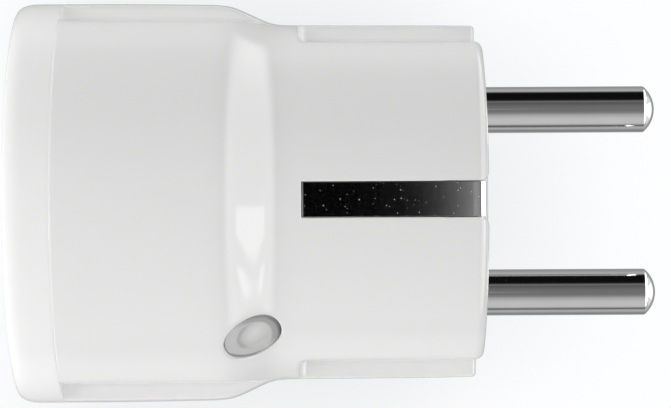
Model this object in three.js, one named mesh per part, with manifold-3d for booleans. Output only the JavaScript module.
// Plug-through power meter for the round-pin system with side earth contacts.
// Millimetres. +X runs out along the plug pins, +Z from the lower pin to the upper one,
// -Y is the side that carries the push button. The origin is the centre of the face that
// meets the wall socket; the meter's own socket opens towards -X.
import * as THREE from "three";
import { mergeVertices } from "three/addons/utils/BufferGeometryUtils.js";
import Module from "manifold-3d";

const wasm = await Module();
wasm.setup();

// ---- driving dimensions ----
const PIN_PITCH = 19; // between the two pins, and between the two socket holes
const PIN_Z = PIN_PITCH / 2;
const PIN_R = 2.4;
const PIN_TIP_X = 18.35;

const RIM_X = -47.5; // open end of the rim
const SEAM_X = -42.8; // joint between rim piece and shell
const RECESS_DEPTH = 17.5;
const FLOOR_X = RIM_X + RECESS_DEPTH;
const FLOOR_T = 1.65;
const STEP_X = -18.6; // where the flats of the plug end begin
const WALL_END_X = -1.8; // inside of the end wall

const BODY_R = 20.68;
const SEAM_R = 20.5; // both pieces narrow to this at the seam
const PLUG_R = 18.38;
const SHELL_FLAT = 18.3; // half height over the flats of the socket end
const SHELL_RIB = 4.3; // half width of its centre rib
const PLUG_FLAT = 16.1; // the same two sizes for the plug end
const PLUG_RIB = 2.7;
const RECESS_R = 19.35;
const RECESS_FLAT = 16.7;
const RECESS_GROOVE = 3; // half width of the centre groove
const RECESS_GROOVE_TOP = 18.9; // its half height
const CAVITY_R = 16.8;
const CAVITY_FLAT = 14.6;
const REACH = 24; // half size of cutting bodies that must pass the outer skin

const PILLAR_R = 2.5; // screw pillar, and the post of the socket insert
const PILLAR_HOLE_R = 2.8; // holes in the parts the pillar passes through
const SCREW_R = 1.35;
const SCREW_HOLE_R = 1.6;

const STRIP_W = 3.3; // earth strip of the plug
const SLOT_W = 3.6; // the slot it lies in
const SLOT_FLOOR = 16.35;

const BOARD_SOCKET_X = -9.4; // main board, face towards the socket
const BOARD_PLUG_X = -7.8; // face towards the plug
const BOARD_GAP = 0.1; // between board and components

const BUTTON_X = -23.3;
const BUTTON_ANGLE = (45 * Math.PI) / 180; // below the -Y direction
const BUTTON_HOLE_R = 2.92;
const BUTTON_R = 2.74;
const BUTTON_TOP = 19.28; // radius at the middle of the button's face, 0.1 below the skin
const BUTTON_SLOPE = 0.37; // the face falls towards the plug end, as the skin round it does
const BUTTON_CHAMFER = 0.3;

const BODY_SEGMENTS = 60;
const SIDES = [1, -1];

// ---- ranges and outlines ----
const about = (middle, half) => [middle - half, middle + half];
// Range from near to far, on the positive or the negative side of zero.
const onSide = (side, near, far) => (side > 0 ? [near, far] : [-far, -near]);
// Outline mirrored in its second coordinate, kept in the same turning sense.
const mirrored = (points) => points.map(([a, b]) => [a, -b]).reverse();

// (y, z) outline: |z| <= flat, plus a centre rib |y| <= rib up to |z| <= top.
function cross(flat, rib, top) {
  const lower = [
    [-REACH, -flat], [-rib, -flat], [-rib, -top],
    [rib, -top], [rib, -flat], [REACH, -flat],
  ];
  return [...lower, ...mirrored(lower)];
}

// Constant-thickness outline along an open centre line, with mitred corners.
function ribbon(line, thickness) {
  const normals = line.slice(1).map(([endA, endB], i) => {
    const [startA, startB] = line[i];
    const length = Math.hypot(endA - startA, endB - startB);
    return [-(endB - startB) / length, (endA - startA) / length];
  });
  const left = [];
  const right = [];
  line.forEach(([a, b], i) => {
    const before = normals[Math.max(i - 1, 0)];
    const after = normals[Math.min(i, normals.length - 1)];
    const dot = before[0] * after[0] + before[1] * after[1];
    const scale = thickness / 2 / (1 + dot);
    const offsetA = (before[0] + after[0]) * scale;
    const offsetB = (before[1] + after[1]) * scale;
    left.push([a + offsetA, b + offsetB]);
    right.unshift([a - offsetA, b - offsetB]);
  });
  return [...left, ...right];
}

// ---- solids ----
// Manifold from a closed geometry; faces are turned over if they point inwards.
function solid(geometry, flipped = false) {
  const bare = geometry.clone();
  bare.deleteAttribute("normal");
  bare.deleteAttribute("uv");
  const merged = mergeVertices(bare, 1e-4);
  const triVerts = new Uint32Array(merged.index.array);
  if (flipped)
    for (let i = 0; i < triVerts.length; i += 3)
      [triVerts[i + 1], triVerts[i + 2]] = [triVerts[i + 2], triVerts[i + 1]];
  const vertProperties = merged.attributes.position.array;
  const made = new wasm.Manifold(new wasm.Mesh({ numProp: 3, vertProperties, triVerts }));
  return made.volume() < 0 ? solid(geometry, true) : made;
}
const joined = (...solids) => solids.reduce((sum, next) => sum.add(next));
const less = (body, ...cutters) => cutters.reduce((rest, cutter) => rest.subtract(cutter), body);
const onBothSides = (make) => joined(...SIDES.map(make));

// Sizes below are [from, to] ranges along the named axis.
function boxGeometry([x0, x1], [y0, y1], [z0, z1]) {
  return new THREE.BoxGeometry(x1 - x0, y1 - y0, z1 - z0).translate(
    (x0 + x1) / 2,
    (y0 + y1) / 2,
    (z0 + z1) / 2,
  );
}
const box = (xs, ys, zs) => solid(boxGeometry(xs, ys, zs));
const slab = (xs, flat) => box(xs, about(0, REACH), about(0, flat));

// Cylinder whose axis runs along X.
function rod([x0, x1], radius, { y = 0, z = 0, segments = 24 } = {}) {
  return solid(
    new THREE.CylinderGeometry(radius, radius, x1 - x0, segments)
      .rotateZ(-Math.PI / 2)
      .translate((x0 + x1) / 2, y, z),
  );
}

// Surface of revolution about Y from [height, radius] pairs that start and end on the axis.
function lathe(profile, segments) {
  const points = profile.map(([height, radius]) => new THREE.Vector2(radius, height));
  return new THREE.LatheGeometry(points, segments);
}
// Body of revolution about an axis along X, from [x, radius] pairs.
function turned(profile, { segments = BODY_SEGMENTS, y = 0, z = 0 } = {}) {
  return solid(lathe(profile, segments).rotateZ(-Math.PI / 2).translate(0, y, z));
}

const shapeOf = (points) => new THREE.Shape(points.map(([a, b]) => new THREE.Vector2(a, b)));
const extruded = (points, depth) =>
  new THREE.ExtrudeGeometry(shapeOf(points), { depth, bevelEnabled: false });
const ALONG_X = new THREE.Matrix4().makeBasis(
  new THREE.Vector3(0, 1, 0),
  new THREE.Vector3(0, 0, 1),
  new THREE.Vector3(1, 0, 0),
);
// Prism along X over a (y, z) outline.
const prismX = (points, [x0, x1]) =>
  solid(extruded(points, x1 - x0).applyMatrix4(ALONG_X).translate(x0, 0, 0));
// Prism along Z over an (x, y) outline.
const prismZ = (points, [z0, z1]) => solid(extruded(points, z1 - z0).translate(0, 0, z0));

// Frame of the button: x, across, and radius pointing out from the X axis through the button.
const OUT = new THREE.Vector3(0, -Math.cos(BUTTON_ANGLE), -Math.sin(BUTTON_ANGLE));
const X_AXIS = new THREE.Vector3(1, 0, 0);
const ACROSS = new THREE.Vector3().crossVectors(OUT, X_AXIS);
const RADIAL = new THREE.Matrix4().makeBasis(X_AXIS, ACROSS, OUT);
const radialBox = (xs, across, radii) =>
  solid(boxGeometry(xs, across, radii).applyMatrix4(RADIAL));
// Cylinder on the button's axis, between two distances from the X axis.
function buttonRod(radius, [inner, outer], segments) {
  return solid(
    new THREE.CylinderGeometry(radius, radius, outer - inner, segments)
      .rotateX(Math.PI / 2)
      .translate(BUTTON_X, 0, (inner + outer) / 2)
      .applyMatrix4(RADIAL),
  );
}

// ---- materials and meshes ----
const FINISH = {
  shell: { color: "#f2f2f0", roughness: 0.38 },
  insert: { color: "#ededeb", roughness: 0.45 },
  nickel: { color: "#c4c6c8", roughness: 0.22, metalness: 1 },
  spring_steel: { color: "#a9abad", roughness: 0.3, metalness: 1 },
  brass: { color: "#c9a24a", roughness: 0.32, metalness: 1 },
  frosted: { color: "#cfd1d2", roughness: 0.5 },
  board: { color: "#1f5d3a", roughness: 0.55 },
  black_plastic: { color: "#1d1d1f", roughness: 0.55 },
  blue_resin: { color: "#2d5f9c", roughness: 0.45 },
  sleeve: { color: "#22303c", roughness: 0.4 },
  ferrite: { color: "#3b3a3a", roughness: 0.7 },
  shunt_alloy: { color: "#8d6e52", roughness: 0.4, metalness: 1 },
  lamp: { color: "#f4f1df", roughness: 0.3 },
};
const part = new THREE.Group();
part.name = "plug_in_power_meter";

// Adds a flat-shaded mesh of the solid to the group.
function put(name, manifold, finish) {
  const { vertProperties, triVerts } = manifold.getMesh();
  const indexed = new THREE.BufferGeometry();
  indexed.setAttribute("position", new THREE.BufferAttribute(vertProperties, 3));
  indexed.setIndex(new THREE.BufferAttribute(triVerts, 1));
  const geometry = indexed.toNonIndexed();
  geometry.computeVertexNormals();
  const mesh = new THREE.Mesh(geometry, new THREE.MeshStandardMaterial(FINISH[finish]));
  mesh.name = name;
  part.add(mesh);
}

// ---- shell ----
// [x, radius]: straight socket collar, S-shaped waist, plug body with slight draft, rounded end.
const SHELL_OUTER = [
  [SEAM_X, 0], [SEAM_X, SEAM_R], [-42.6, BODY_R], [-33.1, 20.63], [-27.4, 20.54],
  [-25.8, 20.39], [-24.8, 20.07], [-23.75, 19.61], [-22.7, 19.09], [-21.67, 18.68],
  [-20.6, 18.44], [-19.2, PLUG_R], [-1, 18.24], [-0.35, 18], [0, 17.35], [0, 0],
];
const SHELL_INNER = [
  [SEAM_X - 1, 0], [SEAM_X - 1, RECESS_R], [-28.3, RECESS_R], [-28.3, 18.5], [-25, 18.5],
  [-23.75, 18.1], [-22.7, 17.6], [-21.67, 17.2], [-20.6, 16.95], [-19.2, CAVITY_R],
  [WALL_END_X, CAVITY_R - 0.05], [WALL_END_X, 0],
];
const recessPrism = (xs) =>
  prismX(cross(RECESS_FLAT, RECESS_GROOVE, RECESS_GROOVE_TOP), xs);

function hollowShell() {
  const outerFlats = joined(
    prismX(cross(SHELL_FLAT, SHELL_RIB, REACH), [SEAM_X - 1, STEP_X]),
    prismX(cross(PLUG_FLAT, PLUG_RIB, REACH), [STEP_X - 0.2, -0.35]),
    slab([-0.5, 1], PLUG_FLAT),
  );
  const innerFlats = joined(
    recessPrism([SEAM_X - 2, -28.3]),
    slab([-28.4, -20.2], 16.45),
    slab([-20.3, WALL_END_X + 1], CAVITY_FLAT),
  );
  return less(
    turned(SHELL_OUTER).intersect(outerFlats),
    turned(SHELL_INNER).intersect(innerFlats),
  );
}

function rearHousing() {
  // Bosses that back the two earth slots.
  const bosses = onBothSides((side) =>
    box([-20, -1.7], onSide(side, 15, 17.6), about(0, 3.4)),
  );
  // Earth slot, its opening into the cavity, and the pin hole of one side.
  const openings = onBothSides((side) =>
    joined(
      box([-18.5, 1], onSide(side, SLOT_FLOOR, 20), about(0, SLOT_W / 2)),
      box([-18.5, -17.3], onSide(side, 14, 17.5), about(0, SLOT_W / 2)),
      rod([-3, 1], PIN_R + 0.1, { z: side * PIN_Z }),
    ),
  );
  // The screw pillar reaches towards the socket, up to the earth strap.
  const pillar = rod([-24.1, WALL_END_X + 0.1], PILLAR_R);
  return less(
    joined(less(joined(hollowShell(), bosses), openings), pillar),
    rod([-25, -8], 1.5),
    // Button well and the seat of the button's flange.
    buttonRod(BUTTON_HOLE_R, [14, 24], 32),
    buttonRod(3.95, [14, 17.45], 32),
  );
}
put("rear_housing", rearHousing(), "shell");

// Rim piece: full circle outside, socket outline inside. Tables are [x, radius].
const RIM_OUTER = [
  [RIM_X, 0], [RIM_X, 20.05], [-47.3, 20.36], [-46.9, 20.55], [-46.2, BODY_R],
  [-43, BODY_R], [SEAM_X, SEAM_R], [SEAM_X, 0],
];
const RIM_INNER = [
  [SEAM_X + 1, 0], [SEAM_X + 1, RECESS_R], [-47, RECESS_R],
  [RIM_X - 0.1, 19.72], [RIM_X - 0.1, 0],
];
function frontRing() {
  const opening = turned(RIM_INNER).intersect(recessPrism([RIM_X - 1, SEAM_X + 2]));
  return less(turned(RIM_OUTER), opening);
}
put("front_ring", frontRing(), "shell");

// ---- socket insert: recess floor, pivot post and screw seat ----
function socketInsert() {
  const gap = 0.2; // round the insert
  const floorInside = FLOOR_X + FLOOR_T;
  const through = [FLOOR_X - 1, -28];
  const outline = cross(RECESS_FLAT - gap, RECESS_GROOVE - gap, RECESS_GROOVE_TOP - gap);
  const floor = rod([FLOOR_X, floorInside], RECESS_R - gap, {
    segments: BODY_SEGMENTS,
  }).intersect(prismX(outline, through));
  const pinHole = (side) => rod(through, 2.8, { z: side * PIN_Z });
  const clipSlot = (side) => box(through, onSide(side, 15.7, 17.1), about(0, 2.9));
  return less(
    joined(floor, rod([floorInside - 0.2, -26.4], PILLAR_R)),
    rod([FLOOR_X - 1, -26], SCREW_HOLE_R),
    rod([FLOOR_X - 1, -28.95], 2.9),
    ...SIDES.map(pinHole),
    ...SIDES.map(clipSlot),
  );
}
put("socket_insert", socketInsert(), "insert");

// ---- rotary shutter: hub, two lobes with opposite ramps, pocket for its spring ----
function rotaryShutter() {
  const xs = [-28.1, -26.6];
  const lobes = onBothSides((side) => rod(xs, 3.5, { z: side * PIN_Z, segments: 28 }));
  const ramp = [[-29, -4.2], [-28.1, -4.2], [-27.3, 4.2], [-29, 4.2]]; // [x, y]
  return less(
    joined(
      rod(xs, 4.8, { segments: 32 }),
      box(xs, about(0, 2.6), about(0, PIN_Z)),
      lobes,
    ),
    rod([-29, -26], 2.65, { segments: 28 }),
    rod([-27.45, -26], 4, { segments: 32 }),
    prismZ(ramp, onSide(1, 5.8, 14)),
    prismZ(mirrored(ramp), onSide(-1, 5.8, 14)),
  );
}
put("shutter", rotaryShutter(), "insert");

const SPRING = { turns: 1.5, startX: -27.2, rise: 0.65, startR: 2.95, widening: 0.65 };
const WIRE_R = 0.2;
const WIRE_SIDES = 6;
class SpringLine extends THREE.Curve {
  getPoint(along, target = new THREE.Vector3()) {
    const angle = along * Math.PI * 2 * SPRING.turns;
    const radius = SPRING.startR + SPRING.widening * along;
    return target.set(
      SPRING.startX + SPRING.rise * along,
      radius * Math.cos(angle),
      radius * Math.sin(angle),
    );
  }
}
function shutterSpring() {
  const wire = Array.from({ length: WIRE_SIDES }, (_, i) => {
    const angle = (i * 2 * Math.PI) / WIRE_SIDES;
    return [WIRE_R * Math.cos(angle), WIRE_R * Math.sin(angle)];
  });
  return solid(
    new THREE.ExtrudeGeometry(shapeOf(wire), {
      steps: 30,
      bevelEnabled: false,
      extrudePath: new SpringLine(),
    }),
  );
}
put("shutter_spring", shutterSpring(), "spring_steel");

// ---- female contacts and their carrier ----
const TAIL_INNER_Z = 7.3; // side of a contact and its tail that faces the axis

function contactCarrier() {
  const plateX = [-26.3, -24.9];
  const tower = (side) =>
    box([-25, -10.4], about(0, 3.9), about(side * PIN_Z, 4));
  const pocket = (side) => box([-27, -11.4], about(0, 2.9), about(side * PIN_Z, 3));
  const tailSlot = (side) => box([-12, -10], about(0, 1.5), onSide(side, 7, 8.4));
  return less(
    joined(
      box(plateX, about(0, 4.6), about(0, 15.2)),
      box(plateX, about(0, 12.6), about(0, 3.4)),
      ...SIDES.map(tower),
    ),
    rod([-27, -24], SCREW_HOLE_R),
    ...SIDES.map(pocket),
    ...SIDES.map(tailSlot),
  );
}
put("contact_carrier", contactCarrier(), "insert");

// Half outline of the fork, [x, y]: outside from base to mouth, then back along the inside.
const HALF_FORK = [
  [-11.7, 2.7], [-18, 2.6], [-21.5, 2.5], [-24.4, 2.8],
  [-24.4, 2.3], [-21.5, 2], [-18, 2.1], [-12.4, 2.2],
];
// Two sprung blades on a base, with a solder tail.
function socketContact(side) {
  return joined(
    prismZ([...HALF_FORK, ...mirrored(HALF_FORK)], about(side * PIN_Z, PIN_Z - TAIL_INNER_Z)),
    box([-12, -7.4], about(0, 1.25), onSide(side, TAIL_INNER_Z, TAIL_INNER_Z + 0.8)),
  );
}
put("live_socket_contact", socketContact(1), "brass");
put("neutral_socket_contact", socketContact(-1), "brass");

// ---- earth path ----
// The same bent strip on the +Y and the -Y side.
function putBentPair(name, outline, width) {
  put(`${name}_back`, prismZ(outline, about(0, width / 2)), "nickel");
  put(`${name}_front`, prismZ(mirrored(outline), about(0, width / 2)), "nickel");
}

// Centre lines, [x, y].
const CLIP_LINE = [
  [-25.25, 12.9], [-25.25, 16.4], [-30.5, 16.4], [-36, 15.9],
  [-38.2, 15.75], [-40.5, 16], [-45.2, 18.1],
];
const STRIP_LINE = [
  [-17.9, 14.9], [-17.9, 17.5], [-17.65, 17.75], [-1.2, 17.75],
  [-0.87, 17.63], [-0.75, 17.3], [-0.75, 16.5],
];

// Crossbar with an arm at each end that runs towards the plug.
function earthStrap() {
  const thickness = 0.6;
  const startX = -24.8;
  const halfSpan = 14.8;
  const widthZ = about(0, 2.2);
  const arm = (side) =>
    box([startX, -16.8], onSide(side, halfSpan - thickness, halfSpan), widthZ);
  return less(
    joined(
      box([startX, startX + thickness], about(0, halfSpan), widthZ),
      ...SIDES.map(arm),
    ),
    rod([-26, -23], SCREW_HOLE_R),
  );
}
putBentPair("earth_clip", ribbon(CLIP_LINE, 0.7), 5);
put("earth_strap", earthStrap(), "brass");
putBentPair("plug_earth_strip", ribbon(STRIP_LINE, 0.8), STRIP_W);

// ---- plug pins: solder tail, shank, collar behind the end wall, domed tip ----
const PIN_PROFILE = [ // [x, radius]
  [-9.9, 0], [-9.9, 1], [-7.2, 1], [-7.2, 1.9], [-3.4, 1.9], [-3.4, 3.3], [-2, 3.3],
  [-2, PIN_R], [PIN_TIP_X - 1.15, PIN_R], [PIN_TIP_X - 0.75, 1.98],
  [PIN_TIP_X - 0.35, 1.38], [PIN_TIP_X - 0.09, 0.72], [PIN_TIP_X, 0],
];
const plugPin = (side) => turned(PIN_PROFILE, { segments: 28, z: side * PIN_Z });
put("live_pin", plugPin(1), "nickel");
put("neutral_pin", plugPin(-1), "nickel");
put(
  "pin_carrier",
  less(
    box([-6.9, -3.5], about(0, 4.6), about(0, 13.2)),
    ...SIDES.map((side) => rod([-8, -3], 2.1, { z: side * PIN_Z })),
    rod([-8, -3], PILLAR_HOLE_R),
  ),
  "black_plastic",
);

// ---- main board, and what stands on its socket side ----
const RELAY_PINS = [[5.6, 7.6], [5.6, -7.6], [12.4, 7.6], [12.4, -7.6]]; // [y, z]
const RELAY_OUTLINE = [ // [y, z]
  [4.2, -8.4], [4.8, -9], [13.3, -9], [13.9, -8.4],
  [13.9, 8.4], [13.3, 9], [4.8, 9], [4.2, 8.4],
];

function mainBoard() {
  const through = [BOARD_SOCKET_X - 1, BOARD_PLUG_X + 1];
  const disc = rod([BOARD_SOCKET_X, BOARD_PLUG_X], 16.2, { segments: 48 });
  const bossNotch = (side) => box(through, onSide(side, 14.7, 18), about(0, 3.7));
  const pinHole = (side) => rod(through, 1.3, { z: side * PIN_Z, segments: 16 });
  const tailSlot = (side) => box(through, about(0, 1.5), onSide(side, 7, 8.3));
  return less(
    disc.intersect(slab(through, 14.1)),
    rod(through, PILLAR_HOLE_R),
    ...[bossNotch, pinHole, tailSlot].flatMap((cut) => SIDES.map(cut)),
    ...RELAY_PINS.map(([y, z]) => box(through, about(y, 0.65), about(z, 0.5))),
  );
}
put("main_board", mainBoard(), "board");

function relay() {
  const tails = RELAY_PINS.map(([y, z]) =>
    box([BOARD_SOCKET_X - 0.5, -7.2], about(y, 0.4), about(z, 0.25)),
  );
  return joined(prismX(RELAY_OUTLINE, [-24, BOARD_SOCKET_X - 0.2]), ...tails);
}
put("relay", relay(), "black_plastic");

const SOCKET_SIDE_BASE = BOARD_SOCKET_X - BOARD_GAP;
const CAPACITOR_PROFILE = [ // [x, radius]
  [-21.6, 0], [-21.6, 3.6], [-21.2, 4], [-11.6, 4], [-11.2, 3.7],
  [-10.8, 4], [-9.9, 4], [SOCKET_SIDE_BASE, 3.6], [SOCKET_SIDE_BASE, 0],
];
const INDUCTOR_PROFILE = [ // [x, radius]
  [-18, 0], [-18, 2.9], [-16.9, 2.9], [-16.5, 2.4],
  [-11, 2.4], [-10.6, 2.9], [SOCKET_SIDE_BASE, 2.9], [SOCKET_SIDE_BASE, 0],
];
put(
  "electrolytic_capacitor",
  turned(CAPACITOR_PROFILE, { segments: 28, y: -9, z: 7.6 }),
  "sleeve",
);
// Disc with its axis along Y.
put(
  "varistor",
  solid(new THREE.CylinderGeometry(3.2, 3.2, 3.4, 24).translate(-13.3, -12.1, 0.2)),
  "blue_resin",
);
put("inductor", turned(INDUCTOR_PROFILE, { segments: 24, y: -6.9, z: 0.4 }), "ferrite");

// ---- plug side of the main board ----
const PLUG_SIDE_BASE = BOARD_PLUG_X + BOARD_GAP;
// Upright bridge, open underneath.
put(
  "shunt_resistor",
  less(
    box([PLUG_SIDE_BASE, -4.2], [6, 8.4], [-1, 8.6]),
    box([-8, -4.9], [5, 9], [-0.3, 7.9]),
  ),
  "shunt_alloy",
);
const FUSE_PROFILE = [ // [z, radius]
  [-4.4, 0], [-4.4, 1.3], [-3.9, 1.5], [-2.8, 1.5], [-2.4, 1.3],
  [2.4, 1.3], [2.8, 1.5], [3.9, 1.5], [4.4, 1.3], [4.4, 0],
];
put(
  "fuse_resistor",
  solid(lathe(FUSE_PROFILE, 20).rotateX(Math.PI / 2).translate(-6.15, -7.2, 0)),
  "blue_resin",
);
const CHIPS = [ // name, top x, y range, z range
  ["metering_chip", -6.1, [9.2, 13], [-5, 5]],
  ["regulator_chip", -6.1, [-12.5, -8.7], [-9.5, -5.2]],
  ["bridge_rectifier", -5.3, [-12, -8], [5.2, 9.9]],
];
for (const [name, topX, ys, zs] of CHIPS)
  put(name, box([PLUG_SIDE_BASE, topX], ys, zs), "black_plastic");

// ---- control board under the button ----
const SWITCH_HALF = 2.2;
const OUTER_FACE_R = 13.15; // where parts on the board's outer face begin
put("radio_board", radialBox([-25.6, -9.8], [-5.5, 6.5], [12.3, 13.1]), "board");
put("radio_shield_can", radialBox([-24, -13], [-3.5, 5], [10.4, 12.25]), "spring_steel");
put("board_header", radialBox([-12.2, -9.5], about(0, 4), [9.7, 12.2]), "black_plastic");
put(
  "tact_switch_body",
  less(
    radialBox(about(BUTTON_X, SWITCH_HALF), about(0, SWITCH_HALF), [OUTER_FACE_R, 15.4]),
    buttonRod(1.3, [14.2, 16], 20),
  ),
  "black_plastic",
);
put("tact_switch_plunger", buttonRod(1.05, [14.8, 16.3], 20), "black_plastic");
put("indicator_led", radialBox([-20.4, -18.8], about(0, 1.6), [OUTER_FACE_R, 14.2]), "lamp");

// Button: stem, flange behind the shell, and a round cap with a chamfered, sloping face.
function buttonCap() {
  const profile = [ // [distance from the X axis, radius]
    [17, 0],
    [17, BUTTON_R],
    [BUTTON_TOP - BUTTON_CHAMFER, BUTTON_R],
    [BUTTON_TOP, BUTTON_R - BUTTON_CHAMFER],
    [BUTTON_TOP, 0],
  ];
  const cap = lathe(profile, 40).rotateX(Math.PI / 2);
  const points = cap.attributes.position;
  const slopeAbove = 18; // moves the face and its chamfer, leaves the base level
  for (let i = 0; i < points.count; i++) {
    const z = points.getZ(i);
    if (z > slopeAbove) points.setZ(i, z - BUTTON_SLOPE * points.getX(i));
  }
  return joined(
    solid(cap.translate(BUTTON_X, 0, 0).applyMatrix4(RADIAL)),
    buttonRod(3.6, [16.6, 17.25], 32),
    buttonRod(1.2, [16.35, 16.8], 20),
  );
}
put("button_cap", buttonCap(), "frosted");

// ---- screw with a cross recess in its head ----
const SCREW_PROFILE = [ // [x, radius]
  [-29.85, 0], [-29.85, 2.2], [-29.6, 2.6], [-29.05, 2.6],
  [-29.05, SCREW_R], [-12, SCREW_R], [-11.2, 0.3], [-11.2, 0],
];
function coverScrew() {
  const recessX = [-30, -29.45];
  const long = about(0, 1.5);
  const narrow = about(0, 0.35);
  return less(
    turned(SCREW_PROFILE, { segments: 24 }),
    box(recessX, narrow, long),
    box(recessX, long, narrow),
  );
}
put("cover_screw", coverScrew(), "spring_steel");

export default part;
